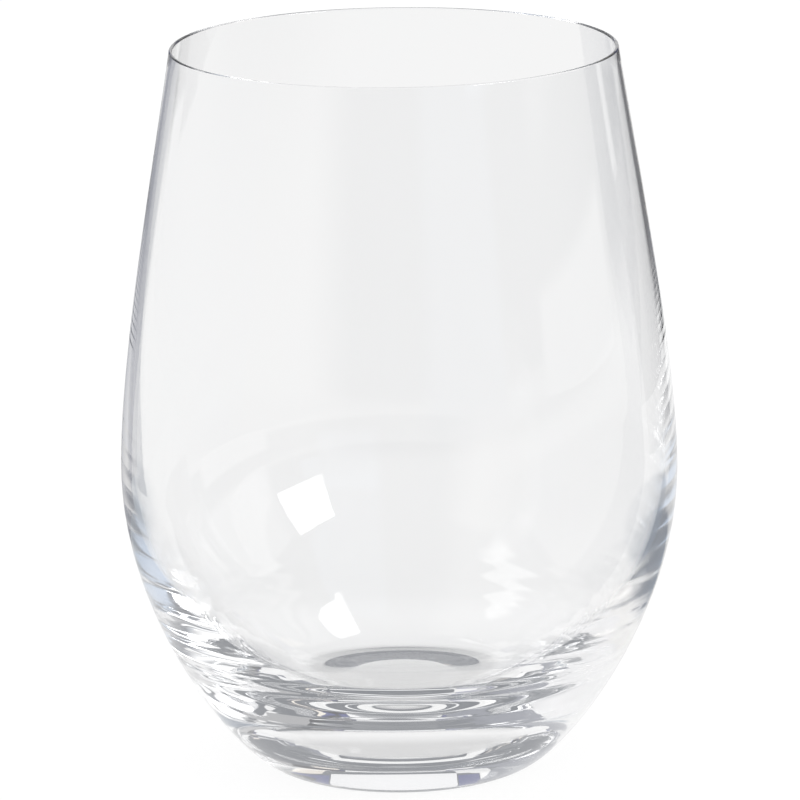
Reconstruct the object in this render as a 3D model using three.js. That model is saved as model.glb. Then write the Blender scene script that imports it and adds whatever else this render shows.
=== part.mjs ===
// Water glass: a stemless tumbler blown as one piece of clear glass.
// Millimetres, +Z up. The foot rests on z = 0 and the glass is round about the Z axis.
import * as THREE from 'three';

// Outside of the bowl
const HEIGHT = 120;             // table to the top of the lip
const LIP_RADIUS = 36.4;        // outside of the wall just under the lip
const BELLY_RADIUS = 45.8;      // outside of the wall at its widest
const BELLY_HEIGHT = 49.9;      // table to the widest ring
const LIP_TAPER = 9;            // degrees that the wall leans in at the lip

// Foot
const FOOT_RADIUS = 19;         // outer edge of the flat ring that stands on the table
const RING_WIDTH = 2.5;         // width of that ring
const HOLLOW_DEPTH = 1.8;       // rise of the hollow inside the ring, on the axis
const HEEL_RADIUS = 9.2;        // rounding from the ring into the outside of the bowl
const HEEL_TURN = 22;           // degrees that the rounding turns through

// Glass thickness
const LIP_WALL = 0.8;           // wall just under the lip
const LIP_SWELL = 0.12;         // how far the melted lip stands out from each face of the wall
const BELLY_WALL = 1.6;         // wall at the widest ring
const FLOOR_GLASS = 6.75;       // solid glass on the axis, from the hollow to the inside floor

// Knee, where the inside leaves the bowl's round and runs down to the floor
const KNEE_INSET = 14.65;       // level distance in from the widest ring inside
const KNEE_RISE = 9.9;          // height over the inside floor
const KNEE_SLOPE = 40;          // degrees from level

// Reach of each curve's handles, which sets how full the curve is
const HEEL_REACH = 6.85;        // heel, up the outside
const LOWER_REACH = 23.7;       // belly, downwards
const UPPER_REACH = 17.5;       // belly, upwards
const LIP_REACH = 20.7;         // lip, down the leaning wall
const INNER_RISE = 3;           // the widest ring inside sits this much higher than outside
const INNER_UPPER_REACH = 20;   // inside, from the widest ring upwards
const INNER_LOWER_REACH = 18;   // inside, from the widest ring downwards
const KNEE_UP_REACH = 8;        // knee, up the slope
const KNEE_DOWN_REACH = 11.6;   // knee, down the slope
const FLOOR_REACH = 18.5;       // inside floor, outwards from the axis

// Facets
const ROUND_STEPS = 72;         // flats around the axis
const SPAN_STEPS = 10;          // flats along each long curve of the wall
const FLOOR_STEPS = 8;          // flats from the knee to the axis
const HEEL_STEPS = 3;           // flats around the heel
const LIP_STEPS = 6;            // flats over the lip
const HOLLOW_STEPS = 5;         // flats across the hollow

const point = (radius, height) => new THREE.Vector2(radius, height);
const span = (start, leave, arrive, end, steps) =>
  new THREE.CubicBezierCurve(start, leave, arrive, end).getPoints(steps);
const direction = (degrees) => {
  const turn = THREE.MathUtils.degToRad(degrees);
  return point(Math.cos(turn), Math.sin(turn));
};
const step = (from, way, length) => from.clone().addScaledVector(way, length);

// The lip is a small round bead on the end of the leaning wall
const lean = THREE.MathUtils.degToRad(LIP_TAPER);
const up = point(-Math.sin(lean), Math.cos(lean));
const out = point(Math.cos(lean), Math.sin(lean));
const halfWall = LIP_WALL / 2;
const beadRadius = halfWall + LIP_SWELL;
const beadCentre = point(LIP_RADIUS - halfWall, HEIGHT - beadRadius);
const beadDrop = Math.sqrt(beadRadius ** 2 - halfWall ** 2);
const wallEnd = step(beadCentre, up, -beadDrop);
const lipOutside = step(wallEnd, out, halfWall);
const lipInside = step(wallEnd, out, -halfWall);

function lipBead() {
  const bite = Math.asin(halfWall / beadRadius);
  const from = lean - Math.PI / 2 + bite;
  const to = lean + Math.PI * 1.5 - bite;
  const points = [];
  for (let i = 0; i <= LIP_STEPS; i++) {
    const turn = from + ((to - from) * i) / LIP_STEPS;
    points.push(point(beadCentre.x + beadRadius * Math.cos(turn), beadCentre.y + beadRadius * Math.sin(turn)));
  }
  return points;
}

function hollow() {
  const edge = FOOT_RADIUS - RING_WIDTH;
  const crown = point(0, HOLLOW_DEPTH);
  const shoulder = point(edge / 2, HOLLOW_DEPTH);
  return new THREE.QuadraticBezierCurve(crown, shoulder, point(edge, 0)).getPoints(HOLLOW_STEPS);
}

function heel() {
  const points = [];
  for (let i = 0; i <= HEEL_STEPS; i++) {
    const turn = (THREE.MathUtils.degToRad(HEEL_TURN) * i) / HEEL_STEPS;
    points.push(point(FOOT_RADIUS + HEEL_RADIUS * Math.sin(turn), HEEL_RADIUS * (1 - Math.cos(turn))));
  }
  return points;
}

// Half section of the glass: under the base, up the outside, over the lip and down the inside
function section() {
  const heelRun = heel();
  const heelEnd = heelRun[HEEL_STEPS];
  const heelWay = direction(HEEL_TURN);
  const belly = point(BELLY_RADIUS, BELLY_HEIGHT);
  const innerBelly = point(BELLY_RADIUS - BELLY_WALL, BELLY_HEIGHT + INNER_RISE);
  const floor = point(0, HOLLOW_DEPTH + FLOOR_GLASS);
  const knee = point(innerBelly.x - KNEE_INSET, floor.y + KNEE_RISE);
  const kneeWay = direction(KNEE_SLOPE);
  const lower = span(
    heelEnd, step(heelEnd, heelWay, HEEL_REACH), point(BELLY_RADIUS, BELLY_HEIGHT - LOWER_REACH), belly, SPAN_STEPS);
  const upper = span(
    belly, point(BELLY_RADIUS, BELLY_HEIGHT + UPPER_REACH), step(lipOutside, up, -LIP_REACH), lipOutside, SPAN_STEPS);
  const innerUpper = span(
    lipInside, step(lipInside, up, -LIP_REACH), point(innerBelly.x, innerBelly.y + INNER_UPPER_REACH), innerBelly,
    SPAN_STEPS);
  const innerLower = span(
    innerBelly, point(innerBelly.x, innerBelly.y - INNER_LOWER_REACH), step(knee, kneeWay, KNEE_UP_REACH), knee,
    SPAN_STEPS);
  const innerFloor = span(
    knee, step(knee, kneeWay, -KNEE_DOWN_REACH), point(FLOOR_REACH, floor.y), floor, FLOOR_STEPS);
  const runs = [hollow(), heelRun, lower, upper, lipBead(), innerUpper, innerLower, innerFloor];
  const points = [];
  for (const run of runs) {
    for (const p of run) {
      const last = points[points.length - 1];
      if (!last || last.distanceTo(p) > 1e-6) points.push(p);
    }
  }
  return points;
}

const glass = new THREE.MeshStandardMaterial({ color: 0xf3f5f5, roughness: 0.03, metalness: 0 });
const geometry = new THREE.LatheGeometry(section(), ROUND_STEPS);
geometry.rotateX(Math.PI / 2);

const tumbler = new THREE.Mesh(geometry, glass);
tumbler.name = 'tumbler';

const group = new THREE.Group();
group.name = 'water_glass';
group.add(tumbler);

export default group;
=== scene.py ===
import math

import bpy
from bpy.props import FloatProperty, FloatVectorProperty, IntProperty, PointerProperty
from bpy.types import Operator, Panel, PropertyGroup
from mathutils import Matrix, Vector


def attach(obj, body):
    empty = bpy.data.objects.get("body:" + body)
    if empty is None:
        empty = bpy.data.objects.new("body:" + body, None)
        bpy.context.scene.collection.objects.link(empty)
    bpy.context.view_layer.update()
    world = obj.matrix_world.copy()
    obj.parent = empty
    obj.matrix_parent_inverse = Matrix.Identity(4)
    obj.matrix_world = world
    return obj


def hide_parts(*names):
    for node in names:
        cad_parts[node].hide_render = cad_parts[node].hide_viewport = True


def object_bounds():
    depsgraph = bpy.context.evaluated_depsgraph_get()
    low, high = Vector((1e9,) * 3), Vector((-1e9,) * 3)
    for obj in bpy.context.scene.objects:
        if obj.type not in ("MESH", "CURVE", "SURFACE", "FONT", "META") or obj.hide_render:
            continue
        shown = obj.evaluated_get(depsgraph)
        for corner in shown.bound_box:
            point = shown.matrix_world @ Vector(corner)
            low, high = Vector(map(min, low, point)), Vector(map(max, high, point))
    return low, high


bl_info = {
    "name": "Water Glass",
    "version": (1, 0, 0),
    "blender": (4, 5, 0),
    "location": "3D View > Sidebar > Water Glass",
    "description": "Blows a stemless water glass to size and stands it in a white studio",
    "category": "Object",
}

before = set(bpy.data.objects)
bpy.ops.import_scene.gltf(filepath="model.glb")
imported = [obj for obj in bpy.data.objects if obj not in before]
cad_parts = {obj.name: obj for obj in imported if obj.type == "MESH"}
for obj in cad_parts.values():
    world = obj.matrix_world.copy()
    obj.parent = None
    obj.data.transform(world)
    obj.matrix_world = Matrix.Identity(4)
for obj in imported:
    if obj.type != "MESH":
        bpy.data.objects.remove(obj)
CAD_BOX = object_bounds()
CAD_TOP = CAD_BOX[1][2]
CAD_RADIUS = CAD_BOX[1][0]
MM = 0.001


# Sizes and colours that a user would change

SHOWN_DIGITS = 5


def length(name, description, default):
    return FloatProperty(
        name=name, description=description, default=default, min=0, precision=SHOWN_DIGITS, unit="LENGTH")


def turn(name, description, degrees):
    return FloatProperty(name=name, description=description, default=math.radians(degrees), subtype="ANGLE")


def tone(name, description, default):
    return FloatVectorProperty(
        name=name, description=description, default=default, min=0, subtype="COLOR", size=3)


class TumblerSizes(PropertyGroup):
    """Sizes of the blown glass"""

    height: length("Height", "Table to the top of the lip", CAD_TOP)
    lip_radius: length("Lip radius", "Outside of the wall just under the lip", 36.4 * MM)
    lip_taper: turn("Lip taper", "How far the wall leans in at the lip", 9)
    lip_wall: length("Lip wall", "Glass just under the lip", 0.6 * MM)
    belly_radius: length("Belly radius", "Outside of the wall at its widest", CAD_RADIUS)
    belly_height: length("Belly height", "Table to the widest ring", 49.9 * MM)
    belly_wall: length("Belly wall", "Glass at the widest ring", 1.6 * MM)
    belly_shift: length("Belly shift", "Height of the widest ring inside over the one outside", 3 * MM)
    foot_radius: length("Foot radius", "Outer edge of the ring that stands on the table", 19 * MM)
    ring_width: length("Ring width", "Width of that ring", 2.5 * MM)
    hollow_depth: length("Hollow depth", "Rise of the hollow inside the ring", 1.8 * MM)
    hollow_flat: length("Hollow flat", "Radius of the flat middle of the hollow", 8.5 * MM)
    hollow_lead: length("Hollow lead", "How far the flat runs on into the slope", 1 * MM)
    hollow_run: length("Hollow run", "How far the slope runs out at the ring", 1 * MM)
    heel_radius: length("Heel radius", "Rounding from the ring into the bowl", 9.2 * MM)
    heel_turn: turn("Heel turn", "How far the rounding turns", 22)
    floor_glass: length("Floor glass", "Solid glass on the axis", 6.75 * MM)
    knee_inset: length("Knee inset", "Level distance from the widest ring inside to the knee", 14.65 * MM)
    knee_rise: length("Knee rise", "Height of the knee over the inside floor", 9.9 * MM)
    knee_slope: turn("Knee slope", "Slope of the inside at the knee", 40)
    steps: IntProperty(name="Steps", description="Faces around the axis", default=320, min=32)
    fineness: IntProperty(
        name="Fineness", description="Faces along each curve of the section", default=24, min=4)


class GlassFinish(PropertyGroup):
    """Finish of the clear glass"""

    colour: tone("Colour", "Tint of the light that comes through", (0.996, 0.997, 0.998))
    ior: FloatProperty(name="IOR", description="How strongly the glass bends light", default=1.52, min=1)
    wave_height: length("Wave height", "Height of the slight rings inside the base", 0.08 * MM)
    wave_length: length("Wave length", "Rise from one ring to the next", 3.1 * MM)
    wave_start: turn("Wave start", "Where in a wave the lowest ring starts", 180)
    wave_wander: turn("Wave wander", "How far the rings wander up and down around the glass", 60)
    wave_low: length("Wave low", "Height at which the rings start", 14.5 * MM)
    wave_top: length("Wave top", "Height at which the rings have died out", 24.5 * MM)


class StudioSettings(PropertyGroup):
    """Camera, table, cards and light"""

    camera_distance: length("Camera distance", "From the aim to the lens", 0.9)
    camera_height: turn("Camera height", "How far the camera looks down", 14)
    camera_roll: turn("Camera roll", "Tilt of the picture", -0.75)
    camera_lens: FloatProperty(name="Lens", description="Focal length", default=246.6, min=1, unit="CAMERA")
    aim: FloatVectorProperty(
        name="Aim", description="Point that the camera looks at", default=(0.00027, 0, 0.06098),
        precision=SHOWN_DIGITS, unit="LENGTH")
    table_colour: tone("Table colour", "Colour of the table before light is added", (0.1, 0.1, 0.1))
    table_lift: tone("Table lift", "Light added so that the table shows white", (0.93, 0.93, 0.93))
    glass_lift: tone("Glass lift", "The same where the glass shows the table", (0.81, 0.81, 0.81))
    # Painted light: the table glow that shows through the glass is set brighter close round the foot
    ring_painted_light: tone("Ring lift", "The same close round the foot", (0.88, 0.88, 0.88))
    # Painted contact shadow: the table glow that shows through the glass is set darker under the foot
    foot_painted_shadow: tone("Foot lift", "The same under the foot", (0.68, 0.68, 0.68))
    # Painted shadow of the glass on the table at its left, shown only in the glass and not to the camera
    # directly
    left_shade: tone("Left shade", "The same in the shade of the glass at its left", (0.40, 0.44, 0.49))
    # Painted shade on the table at the right front, shown only in the glass and not to the camera directly
    front_shade: tone("Front shade", "The same on the table at the right front", (0.5, 0.5, 0.51))
    # Painted shadow of the glass on the table at its right, shown only in the glass and not to the camera
    # directly
    right_shade: tone("Right shade", "The same in the shade of the glass at its right", (0.2, 0.235, 0.29))
    table_reach: length("Table reach", "Distance at which the table starts to fade into the room", 0.8)
    room: tone("Room", "Dim room around the cards", (0.25, 0.26, 0.28))
    window: tone("Window", "Pale blue light behind the camera", (0.68, 0.78, 0.92))
    softbox: tone("Softbox", "Main light, front right", (6, 6, 6))


# Shader nodes

class Shade:
    """A socket of a shader tree that takes part in sums"""

    def __init__(self, tree, socket):
        self.tree = tree
        self.socket = socket

    def sum_with(self, operation, first, second):
        return add_node(self.tree, "ShaderNodeMath", {"operation": operation}, {0: first, 1: second})

    def __add__(self, other):
        return self.sum_with("ADD", self, other)

    __radd__ = __add__

    def __sub__(self, other):
        return self.sum_with("SUBTRACT", self, other)

    def __rsub__(self, other):
        return self.sum_with("SUBTRACT", other, self)

    def __mul__(self, other):
        return self.sum_with("MULTIPLY", self, other)

    __rmul__ = __mul__

    def most(self, other):
        return self.sum_with("MAXIMUM", self, other)


def add_node(tree, kind, settings=None, inputs=None, output=0):
    """Adds a node, sets it up, fills its sockets and gives back one of its outputs, if it has any"""
    node = tree.nodes.new(kind)
    for name, value in (settings or {}).items():
        setattr(node, name, value)
    for name, value in (inputs or {}).items():
        if isinstance(value, Shade):
            tree.links.new(value.socket, node.inputs[name])
        else:
            node.inputs[name].default_value = value
    if not node.outputs:
        return None
    return Shade(tree, node.outputs[output])


def new_material(name):
    material = bpy.data.materials.new(name)
    material.use_nodes = True
    material.node_tree.nodes.clear()
    return material, material.node_tree


def finish_surface(tree, shader):
    add_node(tree, "ShaderNodeOutputMaterial", {}, {"Surface": shader})


def rgba(colour):
    return (*colour, 1.0)


def ray(tree, fact):
    """What the Light Path node says of a ray"""
    return add_node(tree, "ShaderNodeLightPath", output=fact)


def glow(tree, colour):
    return add_node(tree, "ShaderNodeEmission", {}, {"Color": rgba(colour), "Strength": 1.0})


def mixed(tree, share, first, second):
    return add_node(tree, "ShaderNodeMixShader", {}, {0: share, 1: first, 2: second})


def distance(tree, place, point):
    return add_node(
        tree, "ShaderNodeVectorMath", {"operation": "DISTANCE"}, {0: place, 1: point}, output="Value")


def fading(tree, value, low, high):
    """0 up to the low value, 1 from the high one and a smooth rise between them"""
    settings = {"interpolation_type": "SMOOTHSTEP"}
    inputs = {"Value": value, "From Min": low, "From Max": high}
    return add_node(tree, "ShaderNodeMapRange", settings, inputs)


# Clear glass

# Rise over which the waves come and go
WAVE_FADE = 3 * MM
# Coarseness of the noise that makes the waves wander
WANDER_SCALE = 80.0
WANDER_DETAIL = 1.0
# A cone inside the thickness of the base, which tells the inside of the bowl from the outside
CONE_RADIUS = 18 * MM
CONE_FLARE = 0.8
CONE_FADE = 1 * MM


def clear_glass(finish):
    """Clear glass with slight waves on the inside of the base"""
    material, tree = new_material("clear_glass")
    place = add_node(tree, "ShaderNodeTexCoord", output="Object")
    up = add_node(tree, "ShaderNodeSeparateXYZ", {}, {0: place}, output="Z")
    level = add_node(tree, "ShaderNodeVectorMath", {"operation": "MULTIPLY"}, {0: place, 1: (1, 1, 0)})
    out = add_node(tree, "ShaderNodeVectorMath", {"operation": "LENGTH"}, {0: level}, output="Value")
    over = fading(tree, up, finish.wave_low, finish.wave_low + WAVE_FADE)
    under = 1 - fading(tree, up, finish.wave_top - WAVE_FADE, finish.wave_top)
    inner = fading(tree, up * CONE_FLARE + CONE_RADIUS - out, 0, CONE_FADE)
    noise = {"Vector": place, "Scale": WANDER_SCALE, "Detail": WANDER_DETAIL}
    wander = add_node(tree, "ShaderNodeTexNoise", {}, noise)
    angle = up * (math.tau / finish.wave_length) + wander * finish.wave_wander + finish.wave_start
    # Half a sine, so that the wave height is from trough to crest
    waves = add_node(tree, "ShaderNodeMath", {"operation": "SINE"}, {0: angle}) * 0.5
    bump = {"Distance": finish.wave_height, "Height": waves * over * under * inner}
    shader = add_node(tree, "ShaderNodeBsdfPrincipled", {}, {
        "Base Color": rgba(finish.colour),
        "Roughness": 0.0,
        "IOR": finish.ior,
        "Transmission Weight": 1.0,
        "Normal": add_node(tree, "ShaderNodeBump", {}, bump),
    })
    finish_surface(tree, shader)
    return material


# White table

# Distances from the axis between which the painted contact shadow under the foot and the painted light close
# round it change
FOOT_FADE = (17 * MM, 22 * MM)
RING_FADE = (40 * MM, 65 * MM)
# Middle of each painted shadow patch, which looks darker through the glass, and the distances over which it
# fades
LEFT_SHADOW_PATCH = (-0.115, 0.095, 0)
LEFT_FADE = (30 * MM, 60 * MM)
RIGHT_SHADOW_PATCH = (0.108, 0.062, 0)
RIGHT_FADE = (42 * MM, 55 * MM)
FRONT_SHADE_PATCH = (0.42, -0.12, 0)
FRONT_FADE = (200 * MM, 360 * MM)
# Faces of glass that a ray crosses while the painted left and right shadows fade out for it
CROSSINGS_FADE = (2, 4)


def white_table(studio):
    """White to the camera, dimmer through the glass, with painted shadow under the foot, painted light round
    it and three painted shadow patches
    """
    material, tree = new_material("white_table")
    place = add_node(tree, "ShaderNodeTexCoord", output="Object")
    away = distance(tree, place, (0, 0, 0))
    crossed = fading(tree, ray(tree, "Transmission Depth"), *CROSSINGS_FADE)
    front = fading(tree, distance(tree, place, FRONT_SHADE_PATCH), *FRONT_FADE)
    left = fading(tree, distance(tree, place, LEFT_SHADOW_PATCH), *LEFT_FADE).most(crossed)
    right = fading(tree, distance(tree, place, RIGHT_SHADOW_PATCH), *RIGHT_FADE).most(crossed)
    lift = glow(tree, studio.glass_lift)
    # Each step paints light or shade into the table glow inside one ring or patch
    for outside, shade in (
        (fading(tree, away, *RING_FADE), studio.ring_painted_light),
        (fading(tree, away, *FOOT_FADE), studio.foot_painted_shadow),
        (front, studio.front_shade),
        (left, studio.left_shade),
        (right, studio.right_shade),
    ):
        lift = mixed(tree, outside, glow(tree, shade), lift)
    lift = mixed(tree, ray(tree, "Is Camera Ray"), lift, glow(tree, studio.table_lift))
    paper = add_node(tree, "ShaderNodeBsdfDiffuse", {}, {"Color": rgba(studio.table_colour)})
    lit = add_node(tree, "ShaderNodeAddShader", {}, {0: paper, 1: lift})
    far = fading(tree, away, studio.table_reach, 2 * studio.table_reach)
    clear = add_node(tree, "ShaderNodeBsdfTransparent")
    finish_surface(tree, mixed(tree, far, lit, clear))
    return material


# Glowing cards

def soft_edges(start=0, end=0, foot=0, top=0):
    """Shares of a card over which it fades out at its two ends, its foot and its top"""
    return start, end, foot, top


def soft_all_round(share):
    return soft_edges(share, share, share, share)


SHARP = soft_edges()


def glowing(name, colour, soft):
    """Light of one colour that fades out at the soft edges of the card"""
    material, tree = new_material(name)
    light = glow(tree, colour)
    if any(soft):
        place = add_node(tree, "ShaderNodeTexCoord", output="UV")
        across = add_node(tree, "ShaderNodeSeparateXYZ", {}, {0: place}, output="X")
        up = add_node(tree, "ShaderNodeSeparateXYZ", {}, {0: place}, output="Y")
        shown = 1
        for from_edge, share in zip((across, 1 - across, up, 1 - up), soft):
            if share:
                shown = fading(tree, from_edge, 0, share) * shown
        light = mixed(tree, shown, add_node(tree, "ShaderNodeBsdfTransparent"), light)
    finish_surface(tree, light)
    return material


# Half section of the glass

# How far each curve of the section keeps its direction from its ends
HEEL_HOLD = 6.85 * MM
BELLY_HOLD_DOWN = Vector((0, 23.7 * MM))
BELLY_HOLD_UP = Vector((0, 17.5 * MM))
LIP_HOLD = 20.7 * MM
INNER_BELLY_HOLD_UP = Vector((0, 20 * MM))
INNER_BELLY_HOLD_DOWN = Vector((0, 18 * MM))
KNEE_HOLD_UP = 8 * MM
KNEE_HOLD_DOWN = 11.6 * MM
FLOOR_HOLD = Vector((18.5 * MM, 0))
# Curves that make up each round stretch
HEEL_ARCS = 1
LIP_ARCS = 3


class Outline:
    """A run of curves in the plane of the section, kept as curve points with their two handles"""

    def __init__(self, start):
        self.points = [[start, start, start]]

    def end(self):
        return self.points[-1][1]

    def curve(self, leave, arrive, end):
        self.points[-1][2] = leave
        self.points.append([arrive, end, end])

    def line(self, end):
        start = self.end()
        self.curve(start.lerp(end, 1 / 3), start.lerp(end, 2 / 3), end)

    def arc(self, centre, sweep, parts):
        """A round stretch about a centre, anticlockwise"""
        part = sweep / parts
        reach = 4 / 3 * math.tan(part / 4)
        for _ in range(parts):
            start = self.end()
            spoke = start - centre
            next_spoke = Matrix.Rotation(part, 2) @ spoke
            leave = start + reach * spoke.orthogonal()
            arrive = centre + next_spoke - reach * next_spoke.orthogonal()
            self.curve(leave, arrive, centre + next_spoke)


def slope(angle):
    return Vector((math.cos(angle), math.sin(angle)))


def glass_section(sizes):
    """Under the base, up the outside, over the lip and down the inside to the floor"""
    hollow_top = Vector((0, sizes.hollow_depth))
    flat_end = Vector((sizes.hollow_flat, sizes.hollow_depth))
    ring_inside = Vector((sizes.foot_radius - sizes.ring_width, 0))
    ring_outside = Vector((sizes.foot_radius, 0))
    heel_centre = Vector((sizes.foot_radius, sizes.heel_radius))
    heel_way = slope(sizes.heel_turn)
    belly = Vector((sizes.belly_radius, sizes.belly_height))
    wall_way = slope(math.pi / 2 + sizes.lip_taper)
    half_wall = sizes.lip_wall / 2
    lip_centre = Vector((sizes.lip_radius - half_wall, sizes.height - half_wall))
    lip_out = slope(sizes.lip_taper) * half_wall
    lip_outside = lip_centre + lip_out
    lip_inside = lip_centre - lip_out
    inner_belly = Vector((sizes.belly_radius - sizes.belly_wall, sizes.belly_height + sizes.belly_shift))
    floor = Vector((0, sizes.hollow_depth + sizes.floor_glass))
    knee = Vector((inner_belly.x - sizes.knee_inset, floor.y + sizes.knee_rise))
    knee_way = slope(sizes.knee_slope)

    section = Outline(hollow_top)
    section.line(flat_end)
    hollow_leave = flat_end + Vector((sizes.hollow_lead, 0))
    hollow_arrive = ring_inside - Vector((sizes.hollow_run, 0))
    section.curve(hollow_leave, hollow_arrive, ring_inside)
    section.line(ring_outside)
    section.arc(heel_centre, sizes.heel_turn, HEEL_ARCS)
    section.curve(section.end() + heel_way * HEEL_HOLD, belly - BELLY_HOLD_DOWN, belly)
    section.curve(belly + BELLY_HOLD_UP, lip_outside - wall_way * LIP_HOLD, lip_outside)
    section.arc(lip_centre, math.pi, LIP_ARCS)
    section.curve(lip_inside - wall_way * LIP_HOLD, inner_belly + INNER_BELLY_HOLD_UP, inner_belly)
    section.curve(inner_belly - INNER_BELLY_HOLD_DOWN, knee + knee_way * KNEE_HOLD_UP, knee)
    section.curve(knee - knee_way * KNEE_HOLD_DOWN, floor + FLOOR_HOLD, floor)
    return section


# Building by operators

# Points closer than this become one
WELD_DISTANCE = 0.002 * MM
# Faces that meet at less than this angle are shaded as one surface
SMOOTH_ANGLE = math.radians(8)


def select_only(piece):
    bpy.ops.object.select_all(action="DESELECT")
    piece.select_set(True)
    bpy.context.view_layer.objects.active = piece


def draw_section(name, section, fineness):
    """Draws the section as a curve standing in the XZ plane and turns it into a chain of edges"""
    bpy.ops.object.select_all(action="DESELECT")
    bpy.ops.curve.primitive_bezier_curve_add()
    piece = bpy.context.object
    piece.name = name
    curve = piece.data
    curve.resolution_u = fineness
    spline = curve.splines[0]
    spline.bezier_points.add(len(section.points) - len(spline.bezier_points))
    for drawn, (arrive, middle, leave) in zip(spline.bezier_points, section.points):
        drawn.handle_left_type = "FREE"
        drawn.handle_right_type = "FREE"
        drawn.handle_left = (arrive.x, 0, arrive.y)
        drawn.co = (middle.x, 0, middle.y)
        drawn.handle_right = (leave.x, 0, leave.y)
    bpy.ops.object.convert(target="MESH")
    return bpy.context.object


def spin_closed(piece, steps):
    """Turns the chain of edges once round the axis and closes the seam and the poles"""
    select_only(piece)
    bpy.ops.object.mode_set(mode="EDIT")
    bpy.ops.mesh.select_all(action="SELECT")
    bpy.ops.mesh.spin(steps=steps, angle=math.tau, center=(0, 0, 0), axis=(0, 0, 1))
    bpy.ops.mesh.select_all(action="SELECT")
    bpy.ops.mesh.remove_doubles(threshold=WELD_DISTANCE)
    bpy.ops.mesh.normals_make_consistent(inside=False)
    bpy.ops.object.mode_set(mode="OBJECT")


def give_material(piece, material):
    piece.data.materials.clear()
    piece.data.materials.append(material)


def open_edges(piece):
    """How many edges don't join exactly two faces"""
    uses = {}
    for face in piece.data.polygons:
        for edge in face.edge_keys:
            uses[edge] = uses.get(edge, 0) + 1
    return sum(1 for count in uses.values() if count != 2)


def card(name, colour, start, end, low, high, soft=SHARP, lights=False, mirrored=True):
    """Stands a glowing card upright between two points of the plan, out of the camera's own sight.
    It shows through the glass, in reflections too if it is mirrored, and shines on the table if it lights"""
    middle = (Vector(start) + Vector(end)) / 2
    run = Vector(end) - Vector(start)
    place = (middle.x, middle.y, (low + high) / 2)
    turned = (math.pi / 2, 0, math.atan2(run.y, run.x))
    bpy.ops.object.select_all(action="DESELECT")
    bpy.ops.mesh.primitive_plane_add(size=1, location=place, rotation=turned)
    piece = bpy.context.object
    piece.name = name
    piece.scale = (run.length, high - low, 1)
    bpy.ops.object.transform_apply(location=True, rotation=True, scale=True)
    give_material(piece, glowing(name, colour, soft))
    piece.visible_camera = False
    piece.visible_diffuse = lights
    piece.visible_shadow = lights
    piece.visible_glossy = mirrored


# Studio

TABLE_SIZE = 8
# The table lies this far under the foot, so that the two don't share a plane
TABLE_GAP = 0.03 * MM
# Millimetres, as Blender gives sensors
SENSOR_WIDTH = 36
FAR_CLIP = 50
# Enough for light that runs along inside the wall
LIGHT_BOUNCES = 128

PURE_WHITE = (1, 1, 1)
BACKDROP_WHITE = (0.99, 0.99, 1.0)
WHITE = (0.95, 0.95, 0.95)
COOL_WHITE = (0.88, 0.88, 0.89)
WARM_WHITE = (0.89, 0.88, 0.865)
STRIP_LIGHT = (2.2, 2.2, 2.2)
RIGHT_LIGHT = (1.15, 1.15, 1.15)
LOW_LIGHT = (1.2, 1.2, 1.2)
CREAM = (0.97, 0.91, 0.83)
PALE_BLUE = (0.64, 0.72, 0.84)
LAVENDER = (0.36, 0.37, 0.41)
VIOLET = (0.22, 0.23, 0.37)
CEILING_GREY = (0.36, 0.37, 0.39)
CARD_GREY = (0.47, 0.47, 0.48)
FLAG_GREY = (0.17, 0.17, 0.18)


def stand_back_cards():
    """White backdrop behind the glass, tinted and white cards beside it and a dim one high above"""
    card("backdrop", BACKDROP_WHITE, start=(-0.27, 1.2), end=(0.38, 1.2), low=0, high=0.425)
    card("right_back_card", CREAM, start=(0.42, 1.15), end=(0.66, 1.15), low=0.41, high=0.74)
    card("right_back_shade", VIOLET, start=(0.385, 1.19), end=(0.66, 1.16), low=0, high=0.41)
    card("left_back_card", WHITE, start=(-0.26, 1.15), end=(-0.47, 1.15), low=0.4, high=0.7)
    card("left_back_shade", VIOLET, start=(-0.275, 1.19), end=(-0.39, 1.16), low=0, high=0.4)
    card("left_back_strip", WHITE, start=(-0.39, 1.15), end=(-0.48, 1.12), low=0, high=0.4)
    card("back_ceiling", CEILING_GREY, start=(-0.5, 0.8), end=(0.5, 0.8), low=0.77, high=1.38,
         soft=soft_all_round(0.3))


def stand_flags():
    """Low dark cards at both sides of the glass that draw its edges"""
    card("left_far_flag", LAVENDER, start=(-0.068, 0.115), end=(-0.15, 0.69), low=0, high=0.085)
    card("left_near_flag", LAVENDER, start=(-0.068, 0.115), end=(-0.135, 0.115), low=0, high=0.125)
    card("right_far_flag", FLAG_GREY, start=(0.115, 0.3), end=(0.215, 0.69), low=0, high=0.085)
    card("right_near_flag", FLAG_GREY, start=(0.105, 0.295), end=(0.16, 0.24), low=0.012, high=0.085,
         soft=soft_edges(foot=0.1))
    card("right_grey_card", CARD_GREY, start=(0.16, 0.24), end=(0.27, 0.14), low=0, high=0.085)


def stand_side_cards():
    """White cards and strips at the left and the right"""
    card("left_white_card", COOL_WHITE, start=(-0.6, 0.67), end=(-0.6, -0.28), low=0, high=0.46,
         soft=soft_edges(start=0.1, top=0.1))
    card("left_front_card", WARM_WHITE, start=(-0.6, -0.28), end=(-0.2, -0.62), low=0, high=0.7,
         soft=soft_edges(end=0.5, top=0.2))
    card("left_strip_light", STRIP_LIGHT, start=(-0.6, -0.31), end=(-0.6, 0.5), low=0.6, high=1.0,
         soft=soft_all_round(0.2), lights=True)
    card("right_strip", WHITE, start=(0.57, 0.42), end=(0.6, 0.36), low=0, high=0.35,
         soft=soft_all_round(0.1))
    card("right_white_card", RIGHT_LIGHT, start=(0.64, 0.3), end=(0.64, -0.34), low=0.14, high=0.62,
         soft=soft_edges(start=0.05, end=0.3, foot=0.1, top=0.05))


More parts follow.
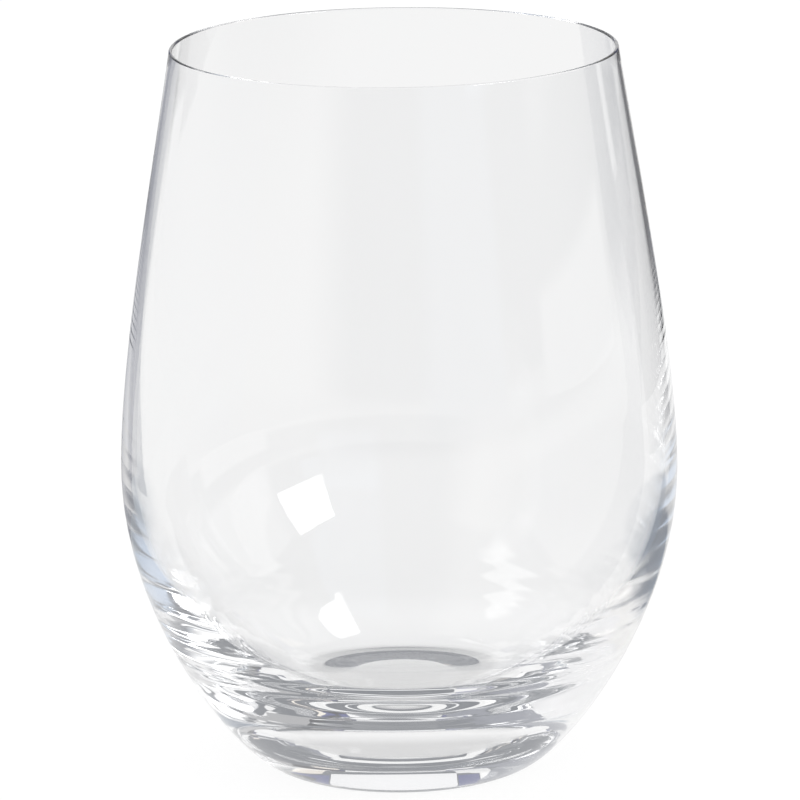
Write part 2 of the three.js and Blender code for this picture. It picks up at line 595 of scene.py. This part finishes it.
def stand_front_cards(studio):
    """Window light behind the camera, two cards that only show through the glass, and the main light"""
    card("front_right_card", studio.window, start=(0.46, -0.66), end=(0.235, -0.765), low=0.23, high=0.45,
         soft=soft_all_round(0.2))
    card("right_front_card", studio.window, start=(0.62, -0.52), end=(0.46, -0.66), low=0.2, high=0.33,
         soft=soft_edges(start=0.2, foot=0.2))
    card("front_blue_card", PALE_BLUE, start=(0.015, -0.14), end=(0.135, -0.14), low=0.045, high=0.15,
         soft=soft_all_round(0.2), mirrored=False)
    card("right_low_card", LOW_LIGHT, start=(0.63, 0.2), end=(0.63, -0.34), low=0, high=0.1,
         soft=soft_edges(start=0.1, end=0.1, top=0.2), mirrored=False)
    card("front_softbox", studio.softbox, start=(0.859, -0.406), end=(0.647, -0.827), low=0.41, high=0.873,
         lights=True)


def lay_table(studio):
    bpy.ops.object.select_all(action="DESELECT")
    bpy.ops.mesh.primitive_plane_add(size=TABLE_SIZE, location=(0, 0, -TABLE_GAP))
    table = bpy.context.object
    table.name = "table_top"
    bpy.ops.object.transform_apply(location=True, rotation=True, scale=True)
    give_material(table, white_table(studio))


def fill_room(scene, studio):
    """A dim room round the cards that is white to the camera and in the light on the table"""
    world = bpy.data.worlds.new("studio_room")
    scene.world = world
    world.use_nodes = True
    tree = world.node_tree
    tree.nodes.clear()
    seen = ray(tree, "Is Camera Ray").most(ray(tree, "Is Diffuse Ray"))
    dim = add_node(tree, "ShaderNodeBackground", {}, {"Color": rgba(studio.room), "Strength": 1.0})
    white = add_node(tree, "ShaderNodeBackground", {}, {"Color": rgba(PURE_WHITE), "Strength": 1.0})
    add_node(tree, "ShaderNodeOutputWorld", {}, {"Surface": mixed(tree, seen, dim, white)})


def set_camera(scene, studio):
    bpy.ops.object.select_all(action="DESELECT")
    down = studio.camera_height
    forward = Vector((0, math.cos(down), -math.sin(down)))
    place = Vector(studio.aim) - forward * studio.camera_distance
    tilt = Matrix.Rotation(math.pi / 2 - down, 4, "X") @ Matrix.Rotation(studio.camera_roll, 4, "Z")
    bpy.ops.object.camera_add()
    camera = bpy.context.object
    camera.name = "photo_camera"
    camera.matrix_world = Matrix.Translation(place) @ tilt
    camera.data.sensor_width = SENSOR_WIDTH
    camera.data.lens = studio.camera_lens
    camera.data.clip_end = FAR_CLIP
    scene.camera = camera


def set_render(scene):
    scene.view_settings.view_transform = "Standard"
    scene.cycles.max_bounces = LIGHT_BOUNCES
    scene.cycles.transmission_bounces = LIGHT_BOUNCES
    scene.cycles.glossy_bounces = LIGHT_BOUNCES


# Operators

class OBJECT_OT_blow_tumbler(Operator):
    """Draw the half section of the glass and spin it into one closed piece"""

    bl_idname = "object.blow_tumbler"
    bl_label = "Blow Tumbler"

    def execute(self, context):
        sizes = context.scene.tumbler_sizes
        piece = draw_section("glass_tumbler", glass_section(sizes), sizes.fineness)
        spin_closed(piece, sizes.steps)
        select_only(piece)
        bpy.ops.object.shade_smooth_by_angle(angle=SMOOTH_ANGLE)
        give_material(piece, clear_glass(context.scene.glass_finish))
        if open_edges(piece):
            raise RuntimeError("the spun glass is not closed")
        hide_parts("tumbler")
        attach(piece, "root")
        return {"FINISHED"}


class OBJECT_OT_set_studio(Operator):
    """Lay the white table, stand the cards and lights round it and set the camera"""

    bl_idname = "object.set_studio"
    bl_label = "Set Studio"

    def execute(self, context):
        scene = context.scene
        studio = scene.studio_settings
        lay_table(studio)
        stand_back_cards()
        stand_flags()
        stand_side_cards()
        stand_front_cards(studio)
        fill_room(scene, studio)
        set_camera(scene, studio)
        set_render(scene)
        return {"FINISHED"}


class VIEW3D_PT_water_glass(Panel):
    """Sizes, finish and studio of the water glass"""

    bl_label = "Water Glass"
    bl_idname = "VIEW3D_PT_water_glass"
    bl_space_type = "VIEW_3D"
    bl_region_type = "UI"
    bl_category = "Water Glass"

    def draw(self, context):
        scene = context.scene
        column = self.layout.column()
        for group in (scene.tumbler_sizes, scene.glass_finish, scene.studio_settings):
            for name in group.__annotations__:
                column.prop(group, name)
        column.operator(OBJECT_OT_blow_tumbler.bl_idname)
        column.operator(OBJECT_OT_set_studio.bl_idname)


CLASSES = (
    TumblerSizes,
    GlassFinish,
    StudioSettings,
    OBJECT_OT_blow_tumbler,
    OBJECT_OT_set_studio,
    VIEW3D_PT_water_glass,
)


def register():
    for cls in CLASSES:
        bpy.utils.register_class(cls)
    bpy.types.Scene.tumbler_sizes = PointerProperty(type=TumblerSizes)
    bpy.types.Scene.glass_finish = PointerProperty(type=GlassFinish)
    bpy.types.Scene.studio_settings = PointerProperty(type=StudioSettings)


def unregister():
    del bpy.types.Scene.studio_settings
    del bpy.types.Scene.glass_finish
    del bpy.types.Scene.tumbler_sizes
    for cls in reversed(CLASSES):
        bpy.utils.unregister_class(cls)


def main():
    register()
    bpy.ops.object.blow_tumbler()
    bpy.ops.object.set_studio()


if __name__ == "__main__":
    main()
